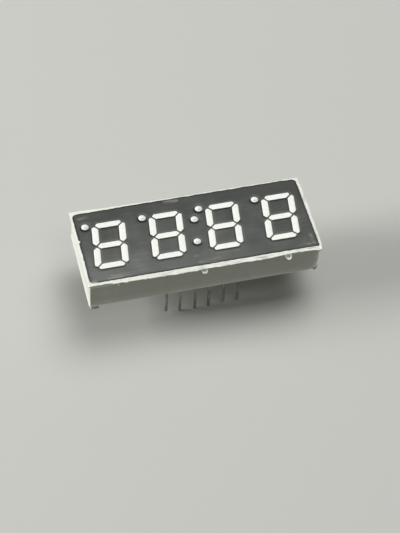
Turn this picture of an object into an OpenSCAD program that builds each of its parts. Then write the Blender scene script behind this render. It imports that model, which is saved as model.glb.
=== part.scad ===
// Four digit, seven segment display module for through-hole mounting.
// +X is the reading direction, +Y is up the digits and +Z comes out of the face.
// The origin is under the middle of the module, on the plane of the pin tips.

/* [Housing] */
// Housing beyond the outer digit cells, at each end
end_margin = 0.3; // [0.1:0.05:2]
// Housing beyond each row of pins
side_margin = 2.05; // [1.8:0.05:3]
// Height of the walls, from the face down to their lower edge
wall_height = 5.2; // [5:0.1:7]
// Thickness of the walls round the board
wall_thickness = 0.9; // [0.6:0.05:1.1]
// How far the rim stands out past the walls
rim_overhang = 0.2; // [0.1:0.05:0.4]
// Height of the rim
rim_height = 0.4; // [0.2:0.05:1]
// Radius of the two rounded upright corners, at the left end
corner_radius = 2.5; // [1.4:0.1:4]

/* [Feet and moulding pips] */
// Height of the feet under the walls
foot_height = 1; // [0.4:0.1:2]
// Side of the two square feet, at the right end
foot_side = 1.35; // [1:0.05:2]
// Width of the two slim feet, at the left end
slim_foot_width = 0.5; // [0.3:0.05:0.8]
// From the left end wall in to each slim foot
slim_foot_inset = 0.55; // [0.4:0.05:0.7]
// Diameter of a moulding pip on the upper wall
pip_diameter = 1.1; // [0.5:0.05:1.2]
// How far a pip stands out of the wall
pip_stand = 0.2; // [0.1:0.05:0.3]
// From the face down to the middle of a pip
pip_drop = 1; // [0.9:0.05:2]
// From the left end wall to the first pip
pip_inset_left = 6.05; // [2:0.05:8]
// From the right end wall to the last pip
pip_inset_right = 4.6; // [2:0.05:8]

/* [Digits] */
// Number of digits in the row
digit_count = 4; // [2:1:4]
// From one digit to the next
digit_pitch = 10; // [9.4:0.1:12]
// Height of a digit
digit_height = 10.16; // [9:0.02:11]
// Width of a digit, measured along its slanted rows
digit_width = 5.86; // [5:0.02:6.4]
// Width of a segment
stroke = 1.14; // [0.8:0.02:1.4]
// Gap between two neighbouring segments
segment_gap = 0.25; // [0.1:0.01:0.4]
// Lean of the digits to the right
slant_angle = 8; // [0:0.5:10]
// How far the digits' middle line lies below the middle of the face
digit_drop = 0.2; // [0:0.05:0.6]
// How far the epoxy stands out of the face
segment_stand = 0.1; // [0.06:0.01:0.2]

/* [Points and colon] */
// Diameter of the decimal points and of the colon's dots
dot_diameter = 1.3; // [0.8:0.05:1.6]
// Gap between a digit and its decimal point
point_gap = 0.44; // [0.2:0.02:0.8]
// From the digit's lower edge up to the middle of its point
point_rise = 0.4; // [0:0.05:0.7]
// Between the middles of the colon's two dots
colon_spacing = 5; // [3:0.1:6]

/* [Face mask] */
// Thickness of the dark coat on the face
mask_thickness = 0.05; // [0.03:0.01:0.06]
// Bare border along the upper edge
mask_border_upper = 0.8; // [0.2:0.05:1.4]
// Bare border along the lower edge
mask_border_lower = 0.3; // [0.2:0.05:1.4]
// Bare border at the left end
mask_border_left = 0.5; // [0.2:0.05:0.8]
// Bare border at the right end
mask_border_right = 0.3; // [0.2:0.05:0.6]

/* [Board] */
// Depth of the reflector cells, from the face down to the board
cell_depth = 3.2; // [2.4:0.1:3.6]
// Height of the round well at the foot of each cell
well_height = 0.8; // [0.4:0.1:1.4]
// Thickness of the board
board_thickness = 1; // [0.6:0.1:1.2]
// Gap between the board's edge and the walls
board_clearance = 0.1; // [0.05:0.01:0.2]
// Side of a light emitting chip
chip_side = 0.3; // [0.2:0.02:0.4]
// Height of a light emitting chip
chip_height = 0.2; // [0.1:0.02:0.3]
// Depth of the resin over the back of the board
potting_depth = 0.7; // [0.5:0.05:0.9]

/* [Pins] */
// Number of pins in a row
pins_per_row = 6; // [4:1:8]
// From one pin to the next
pin_pitch = 2.54; // [2:0.01:2.6]
// Between the two rows of pins
pin_row_spacing = 12.7; // [12.4:0.1:15.24]
// Diameter of a pin
pin_diameter = 0.5; // [0.4:0.02:0.6]
// Diameter of the collar that seats each pin in the board
collar_diameter = 0.84; // [0.7:0.02:0.9]
// How far each collar stands out below the resin
collar_reach = 0.3; // [0.1:0.05:0.6]
// How far the pins reach below the feet
pin_drop = 6.5; // [3:0.1:12]
// Gap between a pin's collar and its hole in the board
pin_clearance = 0.05; // [0.02:0.01:0.1]
// Height of a solder fillet
solder_height = 0.5; // [0.3:0.05:0.7]
// Width of a solder fillet round the collar, at the board
solder_spread = 0.2; // [0.1:0.05:0.3]

/* [Hidden] */
// Levels, from the pin tips up
feet_z = pin_drop;
wall_low_z = feet_z + foot_height;
face_z = wall_low_z + wall_height;
board_top_z = face_z - cell_depth;
board_low_z = board_top_z - board_thickness;
potting_low_z = board_low_z - potting_depth;
collar_low_z = potting_low_z - collar_reach;
window_floor_z = board_top_z + well_height;
segment_top_z = face_z + segment_stand;

// Outlines of the housing, and of what lies inside it
body_length = digit_count * digit_pitch + 2 * end_margin;
body_width = pin_row_spacing + 2 * side_margin;
wall_length = body_length - 2 * rim_overhang;
wall_width = body_width - 2 * rim_overhang;
pocket_length = wall_length - 2 * wall_thickness;
pocket_width = wall_width - 2 * wall_thickness;
pocket_radius = corner_radius - wall_thickness;
board_length = pocket_length - 2 * board_clearance;
board_width = pocket_width - 2 * board_clearance;
board_radius = pocket_radius - board_clearance;

// Middle lines of a digit's outer segments, and half a segment's width
side_x = (digit_width - stroke) / 2;
top_y = (digit_height - stroke) / 2;
half_stroke = stroke / 2;
// Each segment stops this far short of the mitre line that it shares, measured along the segment
mitre = segment_gap / sqrt(2);
// The clipped outer corners of the mitred ends
nose_share = 0.05;
clip_share = 0.26;
nose = nose_share * stroke;
clip = clip_share * stroke;

// The well round a chip, in a segment's width, and the pips' sizes from left to right
well_share = 0.85;
well_radius = well_share * half_stroke;
pip_shares = [1, 1, 0.4];
pip_steps = len(pip_shares) - 1;
pip_first_x = pip_inset_left - wall_length / 2;
pip_last_x = wall_length / 2 - pip_inset_right;

dot_radius = dot_diameter / 2;
pin_radius = pin_diameter / 2;
collar_radius = collar_diameter / 2;
hole_radius = collar_radius + pin_clearance;
solder_lip = solder_spread / 5;
pip_radius = ((pip_diameter / 2) ^ 2 + pip_stand ^ 2) / (2 * pip_stand);
pin_count = 2 * pins_per_row;

// Every cut runs this far past the face it leaves by
overrun = wall_thickness / 2;
round_fn = 48;
arc_steps = 12;

function flip_x(points) = [for (p = points) [-p.x, p.y]];
function flip_y(points) = [for (p = points) [p.x, -p.y]];
function mean(points) = [for (k = [0, 1]) [for (p = points) p[k]] * [for (p = points) 1] / len(points)];

// The outlines of segments a, b and g of an upright digit, about its middle
bar_top = [
    [-side_x + half_stroke + mitre, top_y - half_stroke],
    [side_x - half_stroke - mitre, top_y - half_stroke],
    [side_x - nose, top_y + mitre - nose],
    [side_x - nose - clip, top_y + half_stroke],
    [-side_x + nose + clip, top_y + half_stroke],
    [-side_x + nose, top_y + mitre - nose],
];
bar_side = [
    [side_x, mitre],
    [side_x + half_stroke, half_stroke + mitre],
    [side_x + half_stroke, top_y - nose - clip],
    [side_x + mitre - nose, top_y - nose],
    [side_x - half_stroke, top_y - half_stroke - mitre],
    [side_x - half_stroke, half_stroke + mitre],
];
bar_middle = [
    [side_x - mitre, 0],
    [side_x - half_stroke - mitre, half_stroke],
    [-side_x + half_stroke + mitre, half_stroke],
    [-side_x + mitre, 0],
    [-side_x + half_stroke + mitre, -half_stroke],
    [side_x - half_stroke - mitre, -half_stroke],
];
segment_names = ["a", "b", "c", "d", "e", "f", "g"];
segment_outlines = [
    bar_top,
    bar_side,
    flip_y(bar_side),
    flip_y(bar_top),
    flip_x(flip_y(bar_side)),
    flip_x(bar_side),
    bar_middle,
];
digits = [0 : digit_count - 1];
segments = [0 : len(segment_names) - 1];
// The colon follows this many of the digits
colon_digit = floor(digit_count / 2);
colon_names = ["colon_lower", "colon_upper"];
colon_dots = [0, 1];
pins = [0 : pin_count - 1];

// A point of an upright digit, leaned and set in its place in the row
function lean(p) = [p.x + tan(slant_angle) * p.y, p.y - digit_drop];
function digit_x(digit) = (digit - (digit_count - 1) / 2) * digit_pitch;
function in_digit(digit, p) = lean(p) + [digit_x(digit), 0];
function segment_outline(digit, segment) = [for (p = segment_outlines[segment]) in_digit(digit, p)];
function segment_place(digit, segment) = in_digit(digit, mean(segment_outlines[segment]));
function point_place(digit) =
    in_digit(digit, [digit_width / 2 + point_gap + dot_radius, point_rise - digit_height / 2]);
function colon_place(dot) = in_digit(colon_digit - 1 / 2, [0, (dot - 1 / 2) * colon_spacing]);

// Pins are numbered along the lower row from the left, then back along the upper row
function pin_step(pin) = pin < pins_per_row ? pin : pin_count - 1 - pin;
function pin_place(pin) = [
    (pin_step(pin) - (pins_per_row - 1) / 2) * pin_pitch,
    (pin < pins_per_row ? -1 : 1) * pin_row_spacing / 2,
];

// A block's outline, with its two left corners rounded
function turned(radius, angle) = radius * [cos(angle), sin(angle)];
function arc(middle, radius, start) =
    [for (k = [0 : arc_steps]) middle + turned(radius, start + 90 * k / arc_steps)];
function block_outline(length, width, radius) = concat(
    [[length / 2, -width / 2], [length / 2, width / 2]],
    arc([radius - length / 2, width / 2 - radius], radius, 90),
    arc([radius - length / 2, radius - width / 2], radius, 180)
);

function segment_node(digit, segment) = str("digit_", digit + 1, "_segment_", segment_names[segment]);
function point_node(digit) = str("digit_", digit + 1, "_point");
function chips_node(digit) = str("digit_", digit + 1, "_led_chips");
function pin_node(pin) = str("pin_", pin < 9 ? "0" : "", pin + 1);

module prism(points, low, high) {
    translate([0, 0, low])
        linear_extrude(high - low)
            polygon(points);
}

module round_bar(place, radius, low, high) {
    translate([place.x, place.y, low])
        cylinder(r = radius, h = high - low, $fn = round_fn);
}

// One segment's cell: its window, and the well that leads down to the chip
module segment_cell(digit, segment, low, high) {
    prism(segment_outline(digit, segment), window_floor_z, high);
    round_bar(segment_place(digit, segment), well_radius, low, window_floor_z + overrun);
}

module dot_cell(place, low, high) {
    round_bar(place, dot_radius, window_floor_z, high);
    round_bar(place, well_radius, low, window_floor_z + overrun);
}

module all_cells(low, high) {
    for (digit = digits) {
        for (segment = segments)
            segment_cell(digit, segment, low, high);
        dot_cell(point_place(digit), low, high);
    }
    for (dot = colon_dots)
        dot_cell(colon_place(dot), low, high);
}

module rim() {
    translate([-body_length / 2, -body_width / 2, face_z - rim_height])
        cube([body_length, body_width, rim_height]);
}

module walls(low, high) {
    prism(block_outline(wall_length, wall_width, corner_radius), low, high);
}

module square_feet() {
    for (side = [-1, 1])
        translate([wall_length / 2 - foot_side, side * (wall_width - foot_side) / 2 - foot_side / 2, feet_z])
            cube([foot_side, foot_side, foot_height + overrun]);
}

module slim_feet() {
    intersection() {
        walls(feet_z, wall_low_z + overrun);
        for (side = [-1, 1])
            translate([
                slim_foot_inset - wall_length / 2,
                side * (wall_width - corner_radius) / 2 - corner_radius / 2,
                feet_z,
            ])
                cube([slim_foot_width, corner_radius, foot_height + overrun]);
    }
}

module moulding_pips() {
    for (k = [0 : pip_steps])
        translate([
            pip_first_x + k * (pip_last_x - pip_first_x) / pip_steps,
            wall_width / 2 + pip_shares[k] * (pip_stand - pip_radius),
            face_z - pip_drop,
        ])
            sphere(r = pip_shares[k] * pip_radius, $fn = round_fn);
}

module reflector_housing() {
    color("ivory")
        difference() {
            union() {
                rim();
                walls(wall_low_z, face_z - rim_height / 2);
                square_feet();
                slim_feet();
                moulding_pips();
            }
            prism(block_outline(pocket_length, pocket_width, pocket_radius), feet_z - overrun, board_top_z);
            all_cells(board_top_z - overrun, face_z + overrun);
        }
}

module face_mask() {
    color("dimgray")
        difference() {
            translate([mask_border_left - body_length / 2, mask_border_lower - body_width / 2, face_z])
                cube([
                    body_length - mask_border_left - mask_border_right,
                    body_width - mask_border_lower - mask_border_upper,
                    mask_thickness,
                ]);
            all_cells(board_top_z, segment_top_z + overrun);
        }
}

// A chip's block, run down into the board where it is a cut
module chip(place, sink) {
    translate([place.x - chip_side / 2, place.y - chip_side / 2, board_top_z - sink])
        cube([chip_side, chip_side, chip_height + sink]);
}

module digit_segment(digit, segment) {
    color("white")
        difference() {
            segment_cell(digit, segment, board_top_z, segment_top_z);
            chip(segment_place(digit, segment), overrun);
        }
}

module dot(place) {
    color("white")
        difference() {
            dot_cell(place, board_top_z, segment_top_z);
            chip(place, overrun);
        }
}

module digit_led_chips(digit) {
    color("goldenrod") {
        for (segment = segments)
            chip(segment_place(digit, segment), 0);
        chip(point_place(digit), 0);
    }
}

module colon_led_chips() {
    color("goldenrod")
        for (dot = colon_dots)
            chip(colon_place(dot), 0);
}

module circuit_board() {
    color("darkseagreen")
        difference() {
            prism(block_outline(board_length, board_width, board_radius), board_low_z, board_top_z);
            for (pin = pins)
                round_bar(pin_place(pin), hole_radius, board_low_z - overrun, board_top_z + overrun);
        }
}

// A pin's collar reaches from the board's face down through the resin
module collar(pin) {
    round_bar(pin_place(pin), collar_radius, collar_low_z, board_top_z);
}

module wire_pin(pin) {
    color("silver") {
        round_bar(pin_place(pin), pin_radius, 0, collar_low_z + overrun);
        collar(pin);
    }
}

// The fillet's outer shape, which the resin is cast round
module fillet_cone(pin) {
    translate([pin_place(pin).x, pin_place(pin).y, board_low_z - solder_height])
        cylinder(
            r1 = collar_radius + solder_lip,
            r2 = collar_radius + solder_spread,
            h = solder_height,
            $fn = round_fn
        );
}

module pin_solder_joints() {
    color("gainsboro")
        for (pin = pins)
            difference() {
                fillet_cone(pin);
                collar(pin);
            }
}

module back_potting() {
    color("linen")
        difference() {
            prism(block_outline(pocket_length, pocket_width, pocket_radius), potting_low_z, board_low_z);
            for (pin = pins) {
                fillet_cone(pin);
                collar(pin);
            }
        }
}

reflector_housing();
face_mask();
for (digit = digits, segment = segments)
    digit_segment(digit, segment);
for (digit = digits)
    dot(point_place(digit));
for (k = colon_dots)
    dot(colon_place(k));
circuit_board();
for (digit = digits)
    digit_led_chips(digit);
colon_led_chips();
for (pin = pins)
    wire_pin(pin);
pin_solder_joints();
back_potting();
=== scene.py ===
"""Builds the dressed pieces of a four digit, seven segment display module round its solid model.

+X is the reading direction, +Y is up the digits and +Z comes out of the face.
Shapes are worked out in millimetres.
"""

import math
import random

import bmesh
import bpy
import numpy as np
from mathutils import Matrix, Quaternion, Vector, noise
from mathutils.geometry import delaunay_2d_cdt


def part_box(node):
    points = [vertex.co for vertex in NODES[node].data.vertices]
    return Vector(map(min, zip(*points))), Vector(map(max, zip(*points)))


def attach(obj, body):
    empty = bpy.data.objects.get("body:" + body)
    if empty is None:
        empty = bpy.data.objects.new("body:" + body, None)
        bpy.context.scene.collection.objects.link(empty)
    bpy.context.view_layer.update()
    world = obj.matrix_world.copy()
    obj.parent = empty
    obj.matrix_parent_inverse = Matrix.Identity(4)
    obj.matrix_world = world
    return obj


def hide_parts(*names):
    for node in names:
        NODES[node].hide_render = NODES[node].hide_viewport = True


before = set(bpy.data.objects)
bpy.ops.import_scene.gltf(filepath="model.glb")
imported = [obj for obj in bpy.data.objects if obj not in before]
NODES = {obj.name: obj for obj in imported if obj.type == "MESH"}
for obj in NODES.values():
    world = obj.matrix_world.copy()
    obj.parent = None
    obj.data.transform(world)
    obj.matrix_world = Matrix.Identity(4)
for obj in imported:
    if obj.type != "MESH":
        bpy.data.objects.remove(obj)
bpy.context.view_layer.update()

bl_info = {
    "name": "Seven Segment Display Module",
    "version": (1, 0, 0),
    "blender": (4, 5, 0),
    "location": "3D View > Sidebar > Display Module",
    "description": "Housing, ink, epoxy bars, pins and resin of a four digit display module",
    "category": "Object",
}

MM = 0.001
# Points closer together than this are one
WELD = 0.002
BAR_NODES = sorted(n for n in NODES if "_segment_" in n)
DOT_NODES = sorted(n for n in NODES if n.endswith("_point") or n in ("colon_lower", "colon_upper"))
CHIP_NODES = sorted(n for n in NODES if n.endswith("_led_chips"))
PIN_NODES = sorted(n for n in NODES if n.startswith("pin_") and n != "pin_solder_joints")


def span(node):
    """A node's lowest and highest corners."""
    low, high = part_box(node)
    return low / MM, high / MM


FACE_Z = span("face_mask")[0].z
INK_Z = span("face_mask")[1].z
BAR_Z = span(BAR_NODES[0])[1].z
BOARD_LOW_Z, BOARD_TOP_Z = (corner.z for corner in span("circuit_board"))
FEET_Z = span("reflector_housing")[0].z
RIM_X, RIM_Y = span("reflector_housing")[1].xy
POCKET_X, POCKET_Y = span("back_potting")[1].xy

# The rim's edge wanders with its trimmed flash: places along each side, and how far out it lies there
RIM_UPPER = (
    (-20.3, 0.2), (-19.4, 0.22), (-18.2, -0.06), (-15, -0.07), (-12, 0.09), (-9, 0.22), (-6, 0.12),
    (-1.5, 0.13), (0, 0.1), (1.1, 0.1), (1.9, 0.24), (6, 0.25), (9, 0.18), (13.3, 0.05), (13.75, 0.0),
    (13.9, 0.13), (14.5, 0.1), (14.9, -0.05), (15.2, 0.03), (15.5, 0.05), (16.3, -0.02), (16.5, -0.2),
    (18, -0.24), (20.3, -0.22),
)
RIM_LOWER = ((-20.3, 0.05), (4, 0.07), (9, 0.15), (15, 0.26), (18, 0.4), (20.3, 0.47))
RIM_LEFT = ((-8.4, 0.12), (1, 0.16), (4, 0.08), (7.3, 0.0), (8.4, -0.3))
RIM_RIGHT = ((-8.4, 0.1), (8.4, 0.22))
# Waves, grain and bites in the trimmed edge: depth and size, and how strong the noise is where a bite starts
TEAR_WAVE, TEAR_GRAIN, TEAR_BITE, BITE_FROM = (0.09, 0.45), (0.06, 0.17), (0.3, 0.9), 0.4
# The rim's border that moves with its edge, the outermost part that moves all the way, and its ripple
RIM_BAND, RIM_FREE, RIM_RIPPLE = 0.8, 0.1, (0.03, 0.3)
# Noise seeds for the lower and the upper edge of the rim
LOW_SEED, TOP_SEED = 1, 1.3
# How far the end walls stand out: the right one along Y, and the left one all over
END_RIGHT = ((-8.4, 0.0), (8.4, 0.25))
END_LEFT = 0.3

# Corner radii of the walls' right end and of the rim
SQUARE_CORNER, RIM_CORNER = 0.14, 0.12
# Points along a block's long sides, right end, left end, square corners and round corners
LONG, RIGHT_END, LEFT_END, SQUARE_TURN, ROUND_TURN = 300, 120, 104, 36, 40
# Rings of the shell: how far out of the pocket or the walls, and how far above the walls' lower edge
POCKET_RINGS = ((0, 0.1), (0.03, 0.03), (0.1, 0))
WALL_RINGS = ((-0.12, 0), (-0.02, 0.03), (0.1, 0.06), (0.16, 0.12), (0, 0.32), (0, 1.5), (0, 3.2))
# Rings of the neck and of the rim's underside: how far out, and how far below the rim's trimmed edge
NECK_RINGS = ((0, 0.35), (0.03, 0.22))
UNDER_RINGS = ((-0.12, 0.1), (-0.02, 0))
# Rings of the rim's top and of the torn line on it: how far out, and how far below the face
TOP_RINGS = ((0, 0.07), (-0.03, 0.02), (-0.08, 0), (-0.16, 0))
FLASH_RINGS = ((-0.28, 0.02), (-0.4, 0.08), (-0.5, 0.07), (-0.62, 0))
# The torn line: length of its waves, and its mean depth as a share
FLASH_WAVE, FLASH_MEAN = 1.1, 0.6
# Grey lines on the rim: width, length as widths, strength, mean, most of it, and where it fades along X
GREY_WIDTH, GREY_LONG, GREY_GAIN, GREY_MEAN, GREY_MOST, GREY_FADE = 0.24, 9, 1.3, 0.05, 0.8, (5, 12)
# How deep the bars' straight windows are, and the radius of the round wells under them
WINDOW_DEPTH, WELL_RADIUS = 0.8, 0.48
# Rounding of the feet's soles, and the rise of the soles at the outer corners with its reach
SOLE_EDGE, SOLE_INSET, SOLE_RISE, SOLE_REACH = 0.08, 0.07, 0.35, 0.7

# Moulding pips on the upper wall: place along X, drop from the face and size
PIPS = ((-14.07, 0.36, 1.0), (0.65, 0.28, 1.0), (15.5, 0.42, 0.4))
# A pip from its foot over its ring into its cup: shares of its radius and of its stand
PIP_PROFILE = (
    (1.15, -0.2), (1.06, 0.1), (1.0, 0.6), (0.95, 0.92), (0.88, 1.0), (0.78, 0.94), (0.66, 0.6), (0.52, 0.28),
    (0.3, 0.12), (0.1, 0.1),
)
# A pip's width and height as shares of its radius, how far it tips up, and its tears' depth and size
PIP_WIDE, PIP_TALL, PIP_TIP, PIP_TEAR, PIP_BUMP = 1.08, 0.82, 0.9, 0.18, 0.35 / 1.3

# Rub marks on the ink: both ends, half width and strength
RUBS = (
    (3.7, -7.75, 1.6, -7.6, 0.22, 0.9),
    (2.9, -7.45, 2.1, -7.35, 0.15, 0.6),
    (19.75, 7.35, 19.2, 7.5, 0.3, 1.3),
    (17.0, 7.15, 14.4, 7.25, 0.16, 0.5),
    (16.2, 6.7, 13.2, 6.9, 0.3, 0.25),
    (1.2, 6.95, -2.0, 7.2, 0.12, 0.6),
    (0.7, 6.45, -2.6, 6.6, 0.1, 0.35),
    (1.6, 5.45, -0.4, 5.2, 0.08, 0.35),
    (-2.4, 5.5, -6.2, 5.6, 0.14, 0.3),
    (-18.9, 5.0, -19.05, 5.7, 0.2, 0.7),
    (-18.8, 6.3, -19.1, 6.8, 0.22, 0.6),
    (-17.4, 6.4, -18.3, 6.9, 0.25, 0.3),
    (19.0, -6.9, 17.6, -7.3, 0.25, 0.35),
    (11.6, 4.2, 10.9, 6.2, 0.9, 0.12),
    (10.4, -3.0, 9.9, 3.0, 1.0, 0.06),
)
# How far the ink reaches past its solid: its right edge along Y, and its lower edge along X
INK_RIGHT = ((-8.4, 0.05), (0, 0.1), (8.4, 0.18))
INK_LOWER = ((-19.6, -0.02), (-17.5, 0.09), (9, 0.09), (14, 0.03), (20, 0.0))
# Nicks in the ink's edge, where the white shows: place, radius and depth
NICKS = (
    (20.0, -1.9, 0.25, 0.3), (20.0, 1.2, 0.5, 0.06), (20.0, 2.7, 0.2, 0.12), (20.0, 4.4, 0.6, 0.04),
    (20.0, 7.5, 0.35, 0.2),
)
# Rounding of the ink's corners, step along its edge, step of the net inside it and the net's clearance
INK_CORNER, INK_STEP, INK_NET, INK_CLEAR = 0.25, 0.12, 0.34, 0.25
# Extra loops of points in the ink round each window
INK_LOOPS = (0.1, 0.2)
# Reach of the darker ink, and how far it is shifted: along the coat's edge, and as painted shadow beside a
# dot and beside a bar
EDGE_DARK, DOT_SHADOW, BAR_SHADOW = 0.2, (0.28, 0.15), (0.19, 0.08)

# Step along a bar's outline, half its width, and the gap round a casting as a share of its size
BAR_STEP, BAR_HALF, CAST_GAP = 0.13, 0.57, 0.012
# A casting's top: step of the net, its clearance, and the loops of points along its edge
CAST_NET, CAST_CLEAR, CAST_LOOPS = 0.15, 0.11, (0.02, 0.045, 0.08)
# A dot's dimple as a share of its radius, and the half sizes of the grey painted shade in it
DIMPLE_SHARE, DIMPLE_SHADE_SIZE = 0.32, (0.26, 0.15)

PIN_RADIUS = 0.25
# Points round a pin, and rings down its length
PIN_POINTS, PIN_STEPS = 20, 22
# Each pin's tip: shift along X and Y from its root, and how far short the wire was cut
PIN_TIPS = {
    "pin_07": (0.23, 0.02, 0.6), "pin_08": (0.34, -0.04, 0.0), "pin_09": (0.19, 0.03, 0.1),
    "pin_10": (0.33, 0.0, 0.0), "pin_11": (0.24, 0.05, 0.6), "pin_12": (0.23, -0.03, 0.25),
}
# The resin: step of its net, loops of points along the walls and round each pin
RESIN_NET, WALL_LOOPS, PIN_LOOPS = 0.5, (0.08, 0.2), (0.44, 0.56, 0.7, 0.9, 1.15)

# Each lamp's place and side, in metres
LAMPS = {
    "top": ((-0.26, -0.22, 0.77), 0.6),
    "side": ((0.7, -0.12, 0.3), 0.35),
    "front": ((-0.15, 0.42, 0.72), 0.3),
}
CAMERA_PLACE, CAMERA_AIM = (66.481, 232.323, 286.04), (1.29, 7.82, 12.7)


def linear(code):
    """The linear colour of an sRGB hex value."""
    parts = [int(code[k : k + 2], 16) / 255 for k in (1, 3, 5)]
    return [*(p / 12.92 if p <= 0.04045 else ((p + 0.055) / 1.055) ** 2.4 for p in parts), 1.0]


def paint(name, description, code):
    """A colour property."""
    return bpy.props.FloatVectorProperty(
        name=name, description=description, default=linear(code), size=4, min=0, max=1, subtype="COLOR"
    )


def power(name, description, default):
    """A lamp power property."""
    return bpy.props.FloatProperty(name=name, description=description, default=default, min=0, unit="POWER")


def length(name, description, default):
    """A length property, given in millimetres and kept in metres."""
    return bpy.props.FloatProperty(
        name=name, description=description, default=default * MM, min=0, precision=5, unit="LENGTH"
    )


class HousingSettings(bpy.types.PropertyGroup):
    """The moulded housing."""

    plastic: paint("Plastic", "White moulded plastic", "#EEF0E7")
    shade: paint("Plastic shade", "The same plastic where it is thick or handled", "#E1E3D6")
    # Grey of the lines along the rim's border
    rim_grey: paint("Soiled plastic", "Dirt in the torn lines of the rim", "#A9AAA0")
    overhang: length("Rim overhang", "How far the rim stands out past the walls", 0.2)
    edge: length("Rim edge", "Thickness of the rim's trimmed edge", 0.2)
    corner: length("Corner radius", "Radius of the two rounded upright corners", 2.5)
    foot_height: length("Foot height", "Height of the feet under the walls", 1.0)
    foot_side: length("Foot side", "Side of the square feet", 1.35)
    slim_inset: length("Slim foot inset", "From the left end wall in to each slim foot", 0.55)
    slim_width: length("Slim foot width", "Width of each slim foot", 0.5)
    slim_splay: length("Slim foot splay", "How far each slim foot splays out at its sole", 0.3)
    pip_radius: length("Pip radius", "Radius of a moulding pip", 0.55)
    pip_stand: length("Pip stand", "How far a pip stands out of the wall", 0.46)


class InkSettings(bpy.types.PropertyGroup):
    """The dark coat on the face."""

    dark: paint("Ink", "Screen printed ink", "#40433F")
    # Lighter ink, mixed in for the streaks and as a painted sheen that lightens the coat upwards and to the
    # right
    pale: paint("Handled ink", "The same ink where it is greyed by handling", "#6B6E6A")
    rubbed: paint("Rubbed ink", "Rub marks and smears", "#A6A8A1")
    # Near black ink for the painted shadow beside the bars and dots, and for the darker band along the coat's
    # edge
    shadow_ink: paint("Sheltered ink", "Ink that the bars shelter from handling", "#0E0F0E")
    clip: length("Upper corners", "How far the coat's upper corners are clipped", 0.12)
    low_clip: length("Lower corners", "How far the coat's lower corners are clipped", 0.42)
    ragged: length("Ragged edge", "How far the coat's edge wanders", 0.06)


class EpoxySettings(bpy.types.PropertyGroup):
    """The cast light bars and dots."""

    milky: paint("Epoxy", "Milky cast epoxy", "#F8F9F3")
    cloud: paint("Epoxy clouds", "Thicker clouds in the epoxy", "#EFF0E9")
    # Grey painted shade in the dimple of each dot
    speck: paint("Trapped air", "Grey speck of air under the middle of a dot", "#9DA09B")
    edge: length("Edge radius", "Rounding of a bar's upper edge", 0.08)
    crown: length("Crown", "How far the middle of a bar swells", 0.03)
    dome: length("Dome", "How far the middle of a dot swells", 0.2)
    dimple: length("Dimple", "Depth of the dimple left where a dot set last", 0.05)
    corner: length("Corner", "Rounding of a bar's corners", 0.14)


class PinSettings(bpy.types.PropertyGroup):
    """The wire pins."""

    tin: paint("Tin", "Tinned copper wire", "#B6B6B2")
    dull: paint("Dull tin", "Tin dulled by oxide", "#80807C")
    wander: length("Wander", "How far the hidden pins' tips wander", 0.12)


class ResinSettings(bpy.types.PropertyGroup):
    """The resin on the back."""

    resin: paint("Resin", "Poured potting epoxy", "#E2E0D3")
    cloud: paint("Resin clouds", "Flow marks in the epoxy", "#CFCDBD")
    meniscus: length("Meniscus", "How far the resin creeps up the walls and pins", 0.18)


class StageSettings(bpy.types.PropertyGroup):
    """Floor, light and camera."""

    floor: paint("Floor", "Plain pale floor", "#C8C8C3")
    bounce: paint("Floor bounce", "The floor's colour for the light that it throws back", "#57574B")
    top: power("Top light", "Power of the soft light above", 4.25)
    side: power("Side light", "Power of the soft light at the right end", 5.8)
    front: power("Front light", "Power of the weak light before the upper wall", 0.55)
    ambient: bpy.props.FloatProperty(
        name="Ambient", description="Strength of the light from all round", default=0.08
    )
    lens: bpy.props.FloatProperty(name="Lens", description="Focal length", default=144.15, unit="CAMERA")
    roll: bpy.props.FloatProperty(
        name="Roll",
        description="Turn of the camera about its axis",
        default=math.radians(2.85),
        unit="ROTATION",
    )


class ModuleSettings(bpy.types.PropertyGroup):
    """All the settings of the display module."""

    housing: bpy.props.PointerProperty(type=HousingSettings)
    ink: bpy.props.PointerProperty(type=InkSettings)
    epoxy: bpy.props.PointerProperty(type=EpoxySettings)
    pins: bpy.props.PointerProperty(type=PinSettings)
    resin: bpy.props.PointerProperty(type=ResinSettings)
    stage: bpy.props.PointerProperty(type=StageSettings)


# Inputs of the map range and mix nodes, and what makes a mix one of colours
VALUE, LOW, HIGH, TO_LOW, TO_HIGH = range(5)
FACTOR, A, B = 0, 6, 7
COLOUR = {"out": 2, "data_type": "RGBA"}


def add(tree, kind, links=None, out=0, **settings):
    """Adds a node with its settings, links or sets each input, and gives back one of its outputs."""
    node = tree.nodes.new("ShaderNode" + kind)
    for name, value in settings.items():
        setattr(node, name, value)
    for key, value in (links or {}).items():
        if isinstance(value, bpy.types.NodeSocket):
            tree.links.new(value, node.inputs[key])
        else:
            node.inputs[key].default_value = value
    return node.outputs[out]


def begin(name, **values):
    """A new material and its node tree, with the shader's plain values set."""
    material = bpy.data.materials.new(name)
    material.use_nodes = True
    shader = material.node_tree.nodes["Principled BSDF"]
    for key, value in values.items():
        shader.inputs[key].default_value = value
    return material, material.node_tree


def wire(material, **outputs):
    """Links outputs to a material's shader, and gives back the material."""
    tree = material.node_tree
    for key, output in outputs.items():
        tree.links.new(output, tree.nodes["Principled BSDF"].inputs[key.replace("_", " ")])
    return material


def per(size):
    """The texture scale at which a pattern repeats every so many millimetres."""
    return 1 / (size * MM)


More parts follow.
